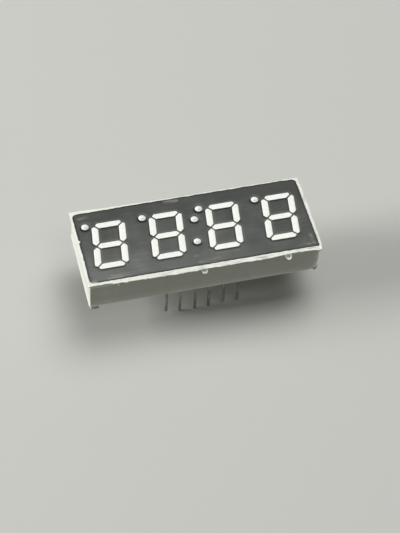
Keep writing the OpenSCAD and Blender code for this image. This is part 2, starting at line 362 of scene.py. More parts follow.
def moulded_polycarbonate(s):
    """Moulded white polycarbonate: ivory, softly glossy, faintly clouded, with drag lines down the walls."""
    material, tree = begin("moulded_white_polycarbonate", IOR=1.58)
    place = add(tree, "TexCoord", out="Object")
    cloud = add(tree, "TexNoise", {"Vector": place, "Scale": per(5), "Detail": 4, "Roughness": 0.6})
    drawn = add(tree, "Mapping", {"Vector": place, "Scale": (1, 1, 0.06)})
    drag = add(tree, "TexNoise", {"Vector": drawn, "Scale": per(0.7), "Detail": 3, "Roughness": 0.6})
    both = add(tree, "Math", {0: drag, 1: 0.3, 2: cloud}, operation="MULTIPLY_ADD")
    spread = add(tree, "MapRange", {VALUE: both, LOW: 0.4, HIGH: 0.85})
    clouded_plastic = add(tree, "Mix", {FACTOR: spread, A: s.shade, B: s.plastic}, **COLOUR)
    # Grey lines along the rim's border
    torn = add(tree, "Attribute", out="Fac", attribute_name="torn")
    marked = add(tree, "Mix", {FACTOR: torn, A: clouded_plastic, B: s.rim_grey}, **COLOUR)
    gloss = add(tree, "MapRange", {VALUE: cloud, LOW: 0.3, HIGH: 0.7, TO_LOW: 0.4, TO_HIGH: 0.55})
    # The real spark grain is about 0.05 mm, drawn at 0.25 mm so that it shows
    grain = add(tree, "TexNoise", {"Vector": place, "Scale": per(0.25), "Detail": 2})
    rough = add(tree, "Math", {0: drag, 1: 0.4, 2: grain}, operation="MULTIPLY_ADD")
    bump = add(tree, "Bump", {"Height": rough, "Strength": 0.25, "Distance": 0.02 * MM})
    return wire(material, Base_Color=marked, Roughness=gloss, Normal=bump)


def printed_ink(s):
    """Screen printed matt ink: charcoal, streaked by the squeegee's pull and rubbed by handling.

    It is greyed by a painted sheen, and darkened by painted shadow beside the bars and dots.
    """
    material, tree = begin("screen_printed_matt_ink", IOR=1.5)
    place = add(tree, "TexCoord", out="Object")
    cloud = add(tree, "TexNoise", {"Vector": place, "Scale": per(6), "Detail": 5, "Roughness": 0.6})
    pulled = add(tree, "Mapping", {"Vector": place, "Scale": (0.08, 1, 1), "Rotation": (0, 0, 0.05)})
    streak = add(tree, "TexNoise", {"Vector": pulled, "Scale": per(0.55), "Detail": 4, "Roughness": 0.65})
    both = add(tree, "Math", {0: streak, 1: 0.45, 2: cloud}, operation="MULTIPLY_ADD")
    # Painted sheen: the ink is lightened upwards and to the right, and just below the bars and dots, on top
    # of its streaks
    greyed = add(tree, "Attribute", out="Fac", attribute_name="greyed")
    uneven = add(tree, "MapRange", {VALUE: both, LOW: 0.45, HIGH: 1.05, TO_LOW: -0.35, TO_HIGH: 0.35})
    spread = add(tree, "Math", {0: uneven, 1: greyed}, operation="ADD", use_clamp=True)
    handled = add(tree, "Mix", {FACTOR: spread, A: s.dark, B: s.pale}, **COLOUR)
    rub = add(tree, "Attribute", out="Fac", attribute_name="rubbed")
    broken = add(tree, "MapRange", {VALUE: streak, LOW: 0.35, HIGH: 0.6})
    smear = add(tree, "Math", {0: rub, 1: broken}, operation="MULTIPLY", use_clamp=True)
    marked = add(tree, "Mix", {FACTOR: smear, A: handled, B: s.rubbed}, **COLOUR)
    # Painted shadow beside the bars and dots darkens the ink and dims its specular; the same mask darkens a
    # band along the coat's edge
    shadow = add(tree, "Attribute", out="Fac", attribute_name="sheltered")
    whole = add(tree, "Mix", {FACTOR: shadow, A: marked, B: s.shadow_ink}, **COLOUR)
    shine = add(tree, "MapRange", {VALUE: shadow, TO_LOW: 0.3, TO_HIGH: 0.08})
    gloss = add(tree, "MapRange", {VALUE: streak, LOW: 0.3, HIGH: 0.7, TO_LOW: 0.66, TO_HIGH: 0.8})
    # Printed grain of about 0.06 mm, drawn at 0.2 mm so that it shows
    grain = add(tree, "TexNoise", {"Vector": place, "Scale": per(0.2), "Detail": 2})
    height = add(tree, "Math", {0: streak, 1: 1.5, 2: grain}, operation="MULTIPLY_ADD")
    bump = add(tree, "Bump", {"Height": height, "Strength": 0.3, "Distance": 0.015 * MM})
    return wire(material, Base_Color=whole, Specular_IOR_Level=shine, Roughness=gloss, Normal=bump)


def cast_epoxy(s):
    """Milky cast epoxy: near white, smooth from the film it was cast against, with faint clouds and pits."""
    material, tree = begin("cast_milky_epoxy", IOR=1.54)
    place = add(tree, "TexCoord", out="Object")
    cloud = add(tree, "TexNoise", {"Vector": place, "Scale": per(0.8), "Detail": 3, "Roughness": 0.6})
    spread = add(tree, "MapRange", {VALUE: cloud, LOW: 0.35, HIGH: 0.65})
    clouded = add(tree, "Mix", {FACTOR: spread, A: s.cloud, B: s.milky}, **COLOUR)
    # Painted shade: grey over each dot's dimple
    air = add(tree, "Attribute", out="Fac", attribute_name="air")
    dimple_shaded = add(tree, "Mix", {FACTOR: air, A: clouded, B: s.speck}, **COLOUR)
    gloss = add(tree, "MapRange", {VALUE: cloud, LOW: 0.3, HIGH: 0.7, TO_LOW: 0.28, TO_HIGH: 0.42})
    # Air pits of about 0.03 mm, drawn at 0.1 mm so that they show
    pits = add(tree, "TexVoronoi", {"Vector": place, "Scale": per(0.3)})
    pit = add(tree, "MapRange", {VALUE: pits, LOW: 0.0, HIGH: 0.3})
    bump = add(tree, "Bump", {"Height": pit, "Strength": 0.15, "Distance": 0.01 * MM})
    return wire(material, Base_Color=dimple_shaded, Roughness=gloss, Normal=bump)


def tinned_wire(s):
    """Drawn copper wire, hot tinned: dull silver with lengthwise draw lines and grey oxide."""
    material, tree = begin("tinned_copper_wire", Metallic=1.0)
    place = add(tree, "TexCoord", out="Object")
    drawn = add(tree, "Mapping", {"Vector": place, "Scale": (1, 1, 0.08)})
    line = add(tree, "TexNoise", {"Vector": drawn, "Scale": per(0.12), "Detail": 2})
    stain = add(tree, "TexNoise", {"Vector": place, "Scale": per(1.1), "Detail": 4, "Roughness": 0.65})
    both = add(tree, "Math", {0: line, 1: stain}, operation="MULTIPLY")
    spread = add(tree, "MapRange", {VALUE: both, LOW: 0.14, HIGH: 0.38})
    mixed = add(tree, "Mix", {FACTOR: spread, A: s.dull, B: s.tin}, **COLOUR)
    gloss = add(tree, "MapRange", {VALUE: stain, LOW: 0.3, HIGH: 0.7, TO_LOW: 0.34, TO_HIGH: 0.52})
    bump = add(tree, "Bump", {"Height": line, "Strength": 0.3, "Distance": 0.01 * MM})
    return wire(material, Base_Color=mixed, Roughness=gloss, Normal=bump)


def poured_resin(s):
    """Poured potting epoxy: ivory, glossy, with slow flow marks and a few burst bubbles."""
    material, tree = begin("poured_potting_epoxy", IOR=1.53)
    place = add(tree, "TexCoord", out="Object")
    slow = {"Scale": per(7), "Detail": 4, "Roughness": 0.55, "Distortion": 1.5}
    flow = add(tree, "TexNoise", {"Vector": place, **slow})
    spread = add(tree, "MapRange", {VALUE: flow, LOW: 0.35, HIGH: 0.65})
    mixed = add(tree, "Mix", {FACTOR: spread, A: s.cloud, B: s.resin}, **COLOUR)
    gloss = add(tree, "MapRange", {VALUE: flow, LOW: 0.3, HIGH: 0.7, TO_LOW: 0.18, TO_HIGH: 0.34})
    bubbles = add(tree, "TexVoronoi", {"Vector": place, "Scale": per(1.6)})
    burst = add(tree, "MapRange", {VALUE: bubbles, LOW: 0.05, HIGH: 0.16})
    height = add(tree, "Math", {0: flow, 1: 0.6, 2: burst}, operation="MULTIPLY_ADD")
    bump = add(tree, "Bump", {"Height": height, "Strength": 0.4, "Distance": 0.06 * MM})
    return wire(material, Base_Color=mixed, Roughness=gloss, Normal=bump)


def masked_laminate():
    """Glass epoxy laminate under green solder mask: glossy green over a fine woven cloth."""
    material, tree = begin("green_masked_glass_laminate", IOR=1.55)
    place = add(tree, "TexCoord", out="Object")
    # Glass yarns of 0.5 mm in both directions, drawn about 3 mm apart so that they show
    yarn = {"Vector": place, "Scale": per(0.5) / 20, "Distortion": 0.6}
    warp = add(tree, "TexWave", yarn, out="Fac", bands_direction="X")
    weft = add(tree, "TexWave", yarn, out="Fac", bands_direction="Y")
    weave = add(tree, "Math", {0: warp, 1: weft}, operation="MULTIPLY")
    mixed = add(tree, "Mix", {FACTOR: weave, A: linear("#2E6B46"), B: linear("#3C7F56")}, **COLOUR)
    gloss = add(tree, "MapRange", {VALUE: weave, TO_LOW: 0.25, TO_HIGH: 0.4})
    bump = add(tree, "Bump", {"Height": weave, "Strength": 0.3, "Distance": 0.02 * MM})
    return wire(material, Base_Color=mixed, Roughness=gloss, Normal=bump)


def diode_crystal():
    """Sawn semiconductor crystal: amber, with a darker worked layer and saw marks on its sides."""
    material, tree = begin("sawn_diode_crystal", IOR=3.3)
    place = add(tree, "TexCoord", out="Object")
    sawn = add(tree, "Mapping", {"Vector": place, "Scale": (1, 1, 6)})
    mark = add(tree, "TexNoise", {"Vector": sawn, "Scale": per(0.15), "Detail": 2})
    mixed = add(tree, "Mix", {FACTOR: mark, A: linear("#8A6A1E"), B: linear("#D8B14A")}, **COLOUR)
    gloss = add(tree, "MapRange", {VALUE: mark, TO_LOW: 0.2, TO_HIGH: 0.4})
    return wire(material, Base_Color=mixed, Roughness=gloss)


def reflowed_solder():
    """Reflowed tin solder: bright silver, with the frosted grain of tin that cooled slowly."""
    material, tree = begin("reflowed_tin_solder", Metallic=1.0)
    place = add(tree, "TexCoord", out="Object")
    grain = add(tree, "TexVoronoi", {"Vector": place, "Scale": per(0.2)})
    mixed = add(tree, "Mix", {FACTOR: grain, A: linear("#CFCFCC"), B: linear("#B5B5B1")}, **COLOUR)
    gloss = add(tree, "MapRange", {VALUE: grain, TO_LOW: 0.18, TO_HIGH: 0.38})
    bump = add(tree, "Bump", {"Height": grain, "Strength": 0.2, "Distance": 0.01 * MM})
    return wire(material, Base_Color=mixed, Roughness=gloss, Normal=bump)


def seen(tree):
    """1 for the rays of the camera, of reflections and through glass, and 0 for the light on the object."""
    rays = add(tree, "LightPath").node.outputs
    first = add(tree, "Math", {0: rays["Is Camera Ray"], 1: rays["Is Glossy Ray"]}, operation="MAXIMUM")
    return add(tree, "Math", {0: first, 1: rays["Is Transmission Ray"]}, operation="MAXIMUM")


def studio_floor(s):
    """Plain matt card: pale to the eye, and a mid grey for the light that it throws back on the object."""
    material, tree = begin("matt_card_floor", Roughness=0.9)
    mixed = add(tree, "Mix", {FACTOR: seen(tree), A: s.bounce, B: s.floor}, **COLOUR)
    # From below, the floor is left clear
    clear = add(tree, "BsdfTransparent")
    back = add(tree, "NewGeometry", out="Backfacing")
    card = tree.nodes["Principled BSDF"].outputs[0]
    either = add(tree, "MixShader", {0: back, 1: card, 2: clear})
    tree.links.new(either, tree.nodes["Material Output"].inputs["Surface"])
    return wire(material, Base_Color=mixed)


def wander(x, y, size, seed):
    """Smooth noise from -1 to 1, with bumps of about one size."""
    return noise.noise(Vector((x / size, y / size, seed)))


def along(table, x):
    """The value of a table of places and values, read off straight lines between its places."""
    return float(np.interp(x, [row[0] for row in table], [row[1] for row in table]))


def smooth_step(low, high, x):
    """Rises smoothly from 0 at low to 1 at high."""
    t = min(1, max(0, (x - low) / (high - low)))
    return t * t * (3 - 2 * t)


def resample(path, count):
    """Even points along a path, with both its ends."""
    points = np.array(path)
    runs = np.concatenate([[0], np.cumsum(np.linalg.norm(np.diff(points, axis=0), axis=1))])
    at = np.linspace(0, runs[-1], count + 1)
    return list(zip(np.interp(at, runs, points[:, 0]), np.interp(at, runs, points[:, 1])))


def corner_path(start, corner, end, radius, steps=16):
    """A path from start to end round a square corner of one radius."""
    start, corner, end = Vector(start), Vector(corner), Vector(end)
    first, last = (start - corner).normalized(), (end - corner).normalized()
    middle = corner + (first + last) * radius
    turns = [math.pi / 2 * k / steps for k in range(steps + 1)]
    arc = [middle - last * radius * math.cos(t) - first * radius * math.sin(t) for t in turns]
    return [start[:], *(p[:] for p in arc), end[:]]


def circle(middle, radius, count):
    """Even points round a circle."""
    turns = [2 * math.pi * k / count for k in range(count)]
    return [(middle[0] + radius * math.cos(t), middle[1] + radius * math.sin(t)) for t in turns]


def soften(outline, radius, step):
    """An outline with its corners rounded and its points a step apart."""
    path = []
    for k, corner in enumerate(outline):
        corner = Vector(corner)
        before, after = Vector(outline[k - 1]) - corner, Vector(outline[(k + 1) % len(outline)]) - corner
        cut = min(radius, 0.4 * before.length, 0.4 * after.length)
        start, end = corner + before.normalized() * cut, corner + after.normalized() * cut
        for t in (0, 0.25, 0.5, 0.75, 1):
            path.append(((1 - t) ** 2 * start + 2 * t * (1 - t) * corner + t * t * end)[:])
    path.append(path[0])
    total = sum(math.dist(a, b) for a, b in zip(path, path[1:]))
    return resample(path, max(12, round(total / step)))[:-1]


def sides(outline):
    """The starts and the steps of an outline's sides."""
    starts = np.array(outline)
    return starts, np.roll(starts, -1, axis=0) - starts


def depth(points, outline):
    """How deep points lie inside a convex outline that runs anticlockwise; negative outside it."""
    starts, steps = sides(outline)
    inward = np.stack([-steps[:, 1], steps[:, 0]], axis=1)
    inward /= np.linalg.norm(inward, axis=1)[:, None]
    away = np.array(points)[:, None, :] - starts[None]
    return (away * inward[None]).sum(axis=2).min(axis=1)


def gap(points, outline):
    """The distance of points from an outline."""
    starts, steps = sides(outline)
    away = np.array(points)[:, None, :] - starts[None]
    share = np.clip((away * steps[None]).sum(axis=2) / (steps**2).sum(axis=1)[None], 0, 1)
    return np.linalg.norm(away - share[..., None] * steps[None], axis=2).min(axis=1)


def offset(outline, out):
    """The points of a convex outline moved outwards, or inwards if out is negative."""
    starts, steps = sides(outline)
    turn = steps / np.linalg.norm(steps, axis=1)[:, None]
    turn = turn + np.roll(turn, 1, axis=0)
    away = np.stack([turn[:, 1], -turn[:, 0]], axis=1) / np.linalg.norm(turn, axis=1)[:, None]
    return starts + away * out


def shrunk(outline, inset):
    """Points of a convex outline moved inwards, where there is room."""
    moved = offset(outline, -inset)
    return [tuple(p) for p, d in zip(moved, depth(moved, outline)) if d > 0.7 * inset]


def window(node):
    """The outline of a bar's or a dot's top face, anticlockwise."""
    low, high = span(node)
    if node in DOT_NODES:
        return circle((low + high).xy / 2, (high.x - low.x) / 2, 56)
    found = (v.co / MM for v in NODES[node].data.vertices)
    top = sorted({(round(p.x, 3), round(p.y, 3)) for p in found if p.z > high.z - WELD})
    middle = np.mean(top, axis=0)
    return sorted(top, key=lambda p: math.atan2(p[1] - middle[1], p[0] - middle[0]))


def windows(settings):
    """The softened outlines of all the bars and dots, by node."""
    made = {node: soften(window(node), settings.corner / MM, BAR_STEP) for node in BAR_NODES}
    return {**made, **{node: window(node) for node in DOT_NODES}}


def skin(bm, rings):
    """Joins rings of as many points each with quads, and gives back the rings' vertices."""
    rows = [[bm.verts.new(p) for p in ring] for ring in rings]
    for low, high in zip(rows, rows[1:]):
        for k in range(len(low)):
            bm.faces.new((low[k - 1], low[k], high[k], high[k - 1]))
    return rows


def lift(outline, z):
    """An outline's points at one height."""
    return [(x, y, z) for x, y in outline]


def fill(bm, outer, holes, inner, height):
    """Fills an outline round its holes with triangles, through inner points, at a height."""
    points, edges = [], []
    for loop in [outer, *holes]:
        start, count = len(points), len(loop)
        points += [Vector(p) for p in loop]
        edges += [(start + k, start + (k + 1) % count) for k in range(count)]
    points += [Vector(p) for p in inner]
    places, _, triangles, *_ = delaunay_2d_cdt(points, edges, [], 1, WELD / 100)
    flat = np.array([p[:] for p in places])
    middles = flat[np.array(triangles)].mean(axis=1)
    kept = np.ones(len(triangles), bool)
    for hole in holes:
        kept &= depth(middles, hole) < 0
    verts = [bm.verts.new((x, y, z)) for (x, y), z in zip(flat, height(flat))]
    faces = [bm.faces.new([verts[k] for k in t]) for t, wanted in zip(triangles, kept) if wanted]
    bmesh.ops.delete(bm, geom=[v for v in verts if not v.link_faces], context="VERTS")
    return faces


def level(z):
    """A flat height."""
    return lambda points: np.full(len(points), z)


def net(outline, step, clear):
    """Points a step apart inside a convex outline, clear of its edge."""
    low, high = np.min(outline, axis=0), np.max(outline, axis=0)
    rows = np.arange(low[1], high[1], step * math.sqrt(3) / 2)
    places = np.arange(low[0], high[0], step)
    points = [(x + step / 2 * (k % 2), y) for k, y in enumerate(rows) for x in places]
    return [p for p, d in zip(points, depth(points, outline)) if d > clear]


def piece(name, bm, material, slot, *nodes, sharp=40):
    """Makes an object of a mesh that is in millimetres, in the place of CAD nodes."""
    bmesh.ops.remove_doubles(bm, verts=bm.verts, dist=WELD)
    bmesh.ops.recalc_face_normals(bm, faces=bm.faces)
    bmesh.ops.scale(bm, vec=(MM, MM, MM), verts=bm.verts)
    mesh = bpy.data.meshes.new(name)
    bm.to_mesh(mesh)
    bm.free()
    mesh.shade_smooth()
    mesh.set_sharp_from_angle(angle=math.radians(sharp))
    mesh.materials.append(material)
    made = bpy.data.objects.new(name, mesh)
    bpy.context.scene.collection.objects.link(made)
    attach(made, "root")
    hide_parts(*nodes)
    return made


def keep(made, name, values):
    """Keeps a value for each vertex of a piece, which its material reads."""
    layer = made.data.attributes.new(name, "FLOAT", "POINT")
    layer.data.foreach_set("value", values.astype(np.float32))


def flat_points(made):
    """The places of a piece's vertices along X and Y."""
    return np.array([v.co[:2] for v in made.data.vertices]) / MM


def block_ring(s, half_x, half_y, left, right):
    """A block's outline, anticlockwise, with the same points side by side in every ring."""
    wall_x, wall_y = RIM_X - s.overhang / MM, RIM_Y - s.overhang / MM
    foot, corner = s.foot_side / MM, s.corner / MM
    right_x, right_y, left_x, left_y = wall_x - foot, wall_y - foot, corner - wall_x, wall_y - corner
    runs = (
        ([(left_x, -half_y), (right_x, -half_y)], LONG),
        (corner_path((right_x, -half_y), (half_x, -half_y), (half_x, -right_y), right), SQUARE_TURN),
        ([(half_x, -right_y), (half_x, right_y)], RIGHT_END),
        (corner_path((half_x, right_y), (half_x, half_y), (right_x, half_y), right), SQUARE_TURN),
        ([(right_x, half_y), (left_x, half_y)], LONG),
        (corner_path((left_x, half_y), (-half_x, half_y), (-half_x, left_y), left), ROUND_TURN),
        ([(-half_x, left_y), (-half_x, -left_y)], LEFT_END),
        (corner_path((-half_x, -left_y), (-half_x, -half_y), (left_x, -half_y), left), ROUND_TURN),
    )
    return [p for path, count in runs for p in resample(path, count)[:-1]]


def trimmed(p, seed):
    """A point of the rim's edge, moved out or in as its trimmed flash wanders."""
    x, y = p
    torn = TEAR_WAVE[0] * wander(x, y, TEAR_WAVE[1], seed) + TEAR_GRAIN[0] * wander(x, y, TEAR_GRAIN[1], 5)
    torn -= TEAR_BITE[0] * max(0, wander(x, y, TEAR_BITE[1], 9) - BITE_FROM)
    out_y = along(RIM_UPPER if y > 0 else RIM_LOWER, x) + (torn if y > 0 else torn / 2)
    out_x = along(RIM_RIGHT if x > 0 else RIM_LEFT, y) + torn / 2
    out_y *= smooth_step(RIM_Y - RIM_BAND, RIM_Y - RIM_FREE, abs(y))
    out_x *= smooth_step(RIM_X - RIM_BAND, RIM_X - RIM_FREE, abs(x))
    return x + math.copysign(1, x) * out_x, y + math.copysign(1, y) * out_y


def on_upper_rim(y):
    """1 on the rim's border along the upper side, and 0 below it."""
    return smooth_step(RIM_Y - RIM_BAND, RIM_Y - RIM_BAND + 0.1, y)


def stood(p, wall_x, corner):
    """A point of the walls, moved out as the end walls stand."""
    x, y = p
    if x > 0:
        return x + along(END_RIGHT, y) * smooth_step(wall_x - 1, wall_x, x), y
    return x - END_LEFT * min(1, max(0, (corner - wall_x - x) / corner)), y


def add_pip(bm, s, x, drop, size, wall_y):
    """Adds a moulding pip: a low ring on the upper wall, torn open where its gate broke off."""
    radius, stand = s.pip_radius / MM * size, s.pip_stand / MM * size
    middle_z = FACE_Z - drop
    rings = []
    for share, out in PIP_PROFILE:
        ring = []
        for px, pz in circle((x, middle_z), radius * share, 28):
            tip = PIP_TIP * (pz - middle_z) / radius
            torn = 1 + PIP_TEAR * wander(px, pz, PIP_BUMP, 11 + x) - tip
            low_z = min(middle_z + PIP_TALL * (pz - middle_z), FACE_Z - 0.1)
            ring.append((x + PIP_WIDE * (px - x), wall_y + stand * out * torn, low_z))
        rings.append(ring)
    rows = skin(bm, rings)
    bm.faces.new(rows[0])
    bm.faces.new(rows[-1])


def funnel_foot(outline, middle):
    """The round foot of a funnel, with a point for each point of its window."""
    away = np.array(outline) - middle
    return [tuple(p) for p in middle + away / np.linalg.norm(away, axis=1)[:, None] * WELL_RADIUS]


class DISPLAY_OT_housing(bpy.types.Operator):
    """Builds the moulded housing: walls, trimmed rim, feet, pips and the funnels of all the bars and dots"""

    bl_idname = "display_module.housing"
    bl_label = "Moulded housing"

    def execute(self, context):
        settings = context.scene.display_module
        s = settings.housing
        wall_x, wall_y = RIM_X - s.overhang / MM, RIM_Y - s.overhang / MM
        foot, corner, edge = s.foot_height / MM, s.corner / MM, s.edge / MM
        wall_low_z, rim_low_z = FEET_Z + foot, FACE_Z - edge
        pocket_corner = corner - (wall_x - POCKET_X)

        def wall(out, z):
            ring = block_ring(s, wall_x + out, wall_y + out, corner + out, SQUARE_CORNER + max(out, 0))
            return lift([stood(p, wall_x, corner) for p in ring], z)

        def pocket(out, z):
            return lift(block_ring(s, POCKET_X + out, POCKET_Y + out, pocket_corner + out, SQUARE_CORNER), z)

        def rim(out, z, seed):
            moved = [trimmed(p, seed) for p in block_ring(s, RIM_X, RIM_Y, RIM_CORNER, RIM_CORNER)]
            squeeze_x, squeeze_y = 1 + out / RIM_X, 1 + out / RIM_Y
            deep, size = RIM_RIPPLE
            return [(x * squeeze_x, y * squeeze_y, z + deep * wander(x, y, size, seed)) for x, y in moved]

        def flash_line(out, sunk):
            ring = []
            for x, y, z in rim(out, FACE_Z, TOP_SEED):
                torn = max(0, FLASH_MEAN + wander(x, out, FLASH_WAVE, 13))
                ring.append((x, y, z - sunk * torn * on_upper_rim(y)))
            return ring

        bm = bmesh.new()
        rings = [pocket(0, BOARD_TOP_Z)]
        rings += [pocket(out, wall_low_z + rise) for out, rise in POCKET_RINGS]
        rings += [wall(out, wall_low_z + rise) for out, rise in WALL_RINGS]
        rings += [wall(out, rim_low_z - drop) for out, drop in NECK_RINGS]
        rings += [rim(out, rim_low_z - drop, LOW_SEED) for out, drop in UNDER_RINGS]
        rings += [rim(out, FACE_Z - drop, TOP_SEED) for out, drop in TOP_RINGS]
        rings += [flash_line(out, sunk) for out, sunk in FLASH_RINGS]
        rows = skin(bm, rings)
        lowest = set(rows[len(POCKET_RINGS)] + rows[len(POCKET_RINGS) + 1])
        under = [f for f in bm.faces if all(v in lowest for v in f.verts)]
        self.add_feet(bm, s, under, wall_x, wall_y, foot)
        openings = windows(settings.epoxy)
        fill(bm, [v.co.xy[:] for v in rows[-1]], list(openings.values()), [], level(FACE_Z))
        wells = []
        for outline in openings.values():
            foot_ring = funnel_foot(outline, np.mean(outline, axis=0))
            window_ring = lift(outline, FACE_Z - WINDOW_DEPTH)
            skin(bm, [lift(outline, FACE_Z), window_ring, lift(foot_ring, BOARD_TOP_Z)])
            wells.append(foot_ring)
        fill(bm, [v.co.xy[:] for v in rows[0]], wells, [], level(BOARD_TOP_Z))
        for x, drop, size in PIPS:
            add_pip(bm, s, x, drop, size, wall_y)
        shell = piece("housing_shell", bm, moulded_polycarbonate(s), "housing_plastic", "reflector_housing")
        keep(shell, "torn", np.array([self.grey_line_share(v.co / MM) for v in shell.data.vertices]))
        return {"FINISHED"}

    def grey_line_share(self, place):
        """How grey a place on the rim is, in lines along its sides."""
        x, y, z = place
        upper, ends = on_upper_rim(y), smooth_step(RIM_X - 0.6, RIM_X - 0.5, abs(x))
        if z < FACE_Z - 0.15 or upper + ends == 0:
            return 0.0
        if upper:
            line = wander(x / GREY_LONG, y, GREY_WIDTH, 31)
        else:
            line = wander(x, y / GREY_LONG, GREY_WIDTH, 37)
        return min(GREY_MOST, max(0.0, GREY_MEAN + GREY_GAIN * line)) * (1 - smooth_step(*GREY_FADE, x))

    def add_feet(self, bm, s, under, wall_x, wall_y, height):
        """Pulls the feet down out of the walls' lower edge, and rounds their soles."""
        foot = s.foot_side / MM
        slim_low = s.slim_inset / MM - wall_x
        slim_high = slim_low + s.slim_width / MM
        chosen = []
        for face in under:
            middle = face.calc_center_median()
            square = middle.x > wall_x - foot and abs(middle.y) > wall_y - foot
            slim = slim_low < middle.x < slim_high and abs(middle.y) > wall_y - s.corner / MM
            if square or slim:
                chosen.append(face)
        steps = ((height - SOLE_EDGE, 0, s.slim_splay / MM), (SOLE_EDGE, SOLE_INSET, 0))
        for drop, inset, splay in steps:
            made = bmesh.ops.extrude_face_region(bm, geom=chosen)["geom"]
            bmesh.ops.delete(bm, geom=chosen, context="FACES_KEEP_BOUNDARY")
            chosen = [g for g in made if isinstance(g, bmesh.types.BMFace)]
            verts = [g for g in made if isinstance(g, bmesh.types.BMVert)]
            bmesh.ops.translate(bm, vec=(0, 0, -drop), verts=verts)
            for v in verts:
                if v.co.x < 0:
                    v.co.y += math.copysign(splay, v.co.y)
            if inset:
                for v in verts:
                    near = [f.calc_center_median() for f in v.link_faces if f in chosen]
                    middle = sum(near, Vector()) / len(near)
                    v.co += (middle - v.co).normalized() * min(inset, (middle - v.co).length / 2)
                    away = math.dist(v.co.xy, (wall_x, math.copysign(wall_y, v.co.y)))
                    v.co.z = FEET_Z + SOLE_RISE * max(0, 1 - away / SOLE_REACH) ** 2


class DISPLAY_OT_ink(bpy.types.Operator):
    """Prints the dark coat on the face, with a window for each bar and dot and a ragged edge"""

    bl_idname = "display_module.ink"
    bl_label = "Printed ink"

    def execute(self, context):
        settings = context.scene.display_module
        s = settings.ink
        openings = windows(settings.epoxy)
        edge = self.edge(s)
        loops = list(openings.values())
        bm = bmesh.new()
        faces = fill(bm, edge, loops, self.inner(loops), level(FACE_Z))
        made = bmesh.ops.extrude_face_region(bm, geom=faces, use_keep_orig=True)["geom"]
        raised = [g for g in made if isinstance(g, bmesh.types.BMVert)]
        bmesh.ops.translate(bm, vec=(0, 0, INK_Z - FACE_Z), verts=raised)
        coat = piece("ink_coat", bm, printed_ink(s), "mask_ink", "face_mask")
        self.paint_shade_and_wear(coat, edge, openings)
        return {"FINISHED"}

    def edge(self, s):
        """The coat's ragged edge, anticlockwise, with its nicks."""
        low, high = (corner.xy for corner in span("face_mask"))
        middle = (low + high) / 2
        clip, low_clip, ragged = s.clip / MM, s.low_clip / MM, s.ragged / MM
        corners = [
            (low.x + low_clip, low.y), (high.x - low_clip, low.y), (high.x, low.y + low_clip),
            (high.x, high.y - clip), (high.x - clip, high.y), (low.x + clip, high.y),
            (low.x, high.y - clip), (low.x, low.y + low_clip),
        ]
        edge = []
        for x, y in soften(corners, INK_CORNER, INK_STEP):
            move = ragged * wander(x, y, 0.8, 2) + 0.5 * ragged * wander(x, y, 0.25, 4)
            if y < low.y + clip:
                move += 1.3 * ragged * wander(x, y, 1.6, 6) + along(INK_LOWER, x)
            if x > high.x - clip:
                move += along(INK_RIGHT, y)
            for nick_x, nick_y, radius, cut in NICKS:
                move -= cut * math.exp(-(((x - nick_x) ** 2 + (y - nick_y) ** 2) / radius**2))
            at_end = abs(x - middle.x) - high.x > abs(y - middle.y) - high.y
            side = Vector((x, 0)) if at_end else Vector((0, y))
            out = side.normalized() * move
            edge.append((x + out.x, y + out.y))
        return edge

    def inner(self, openings):
        """Points inside the coat: a net, and loops round the windows."""
        low, high = span("face_mask")
        box = [(low.x, low.y), (high.x, low.y), (high.x, high.y), (low.x, high.y)]
        inner = net(box, INK_NET, INK_CLEAR)
        for opening in openings:
            inner = [p for p, d in zip(inner, depth(inner, opening)) if d < -INK_LOOPS[-1]]
        for out in INK_LOOPS:
            loops = [tuple(p) for opening in openings for p in offset(opening, out)[::2]]
            deepest = np.max([depth(loops, opening) for opening in openings], axis=0)
            inner += [p for p, d in zip(loops, deepest) if d < -0.7 * out]
        return inner

    def paint_shade_and_wear(self, coat, edge, openings):
        """Keeps where the coat is darkened, greyed and rubbed.

        The ink is darkened along its edge, and as painted shadow beside the bars and dots, most of all above
        them;
        it is lightened as a painted highlight just below them, and by a painted sheen upwards and to the
        right.
        """
        points = flat_points(coat)
        # A darker band of ink along the coat's edge
        sheltered = 0.7 * np.exp(-((gap(points, edge) / EDGE_DARK) ** 2))
        painted_fringe = np.zeros(len(points))
        # Painted shadow beside each bar and dot, shifted up and to the right
        for node, opening in openings.items():
            reach, above = DOT_SHADOW if node in DOT_NODES else BAR_SHADOW
            near = gap(points - np.array((above / 2, above)), opening)
            sheltered = np.maximum(sheltered, np.exp(-((near / reach) ** 2)))
            # Painted highlight: a lighter fringe of ink just below and to the left of each bar and dot
            below = gap(points + np.array((above, 2 * above)), opening)
            painted_fringe = np.maximum(painted_fringe, np.exp(-((below / reach) ** 2)))
        across, upward = points.T / np.array([[RIM_X], [RIM_Y]])
        # Painted sheen: the ink grows lighter upwards and to the right
        greyed = 0.34 + 0.4 * upward + (0.1 + 0.26 * np.clip(upward, 0, 1)) * across
        rubbed = np.zeros(len(points))
        for x0, y0, x1, y1, width, strength in RUBS:
            start, step = np.array((x0, y0)), np.array((x1 - x0, y1 - y0))
            share = np.clip(((points - start) @ step) / (step @ step), 0, 1)
            away = np.linalg.norm(points - start - share[:, None] * step, axis=1)
            rubbed = np.maximum(rubbed, strength * np.exp(-((away / width) ** 2)))
        # The painted shadow is cut back where the painted highlight and the rub marks lie
        keep(coat, "sheltered", np.clip(sheltered - 0.7 * painted_fringe - rubbed, 0, 1))
        keep(coat, "rubbed", rubbed)
        keep(coat, "greyed", greyed + 0.5 * painted_fringe)


def rounded(inside, edge):
    """How far a casting's top drops near its rounded edge, by the depth inside it."""
    turn = np.clip(edge - inside, 0, edge)
    return np.sqrt(edge**2 - turn**2) - edge


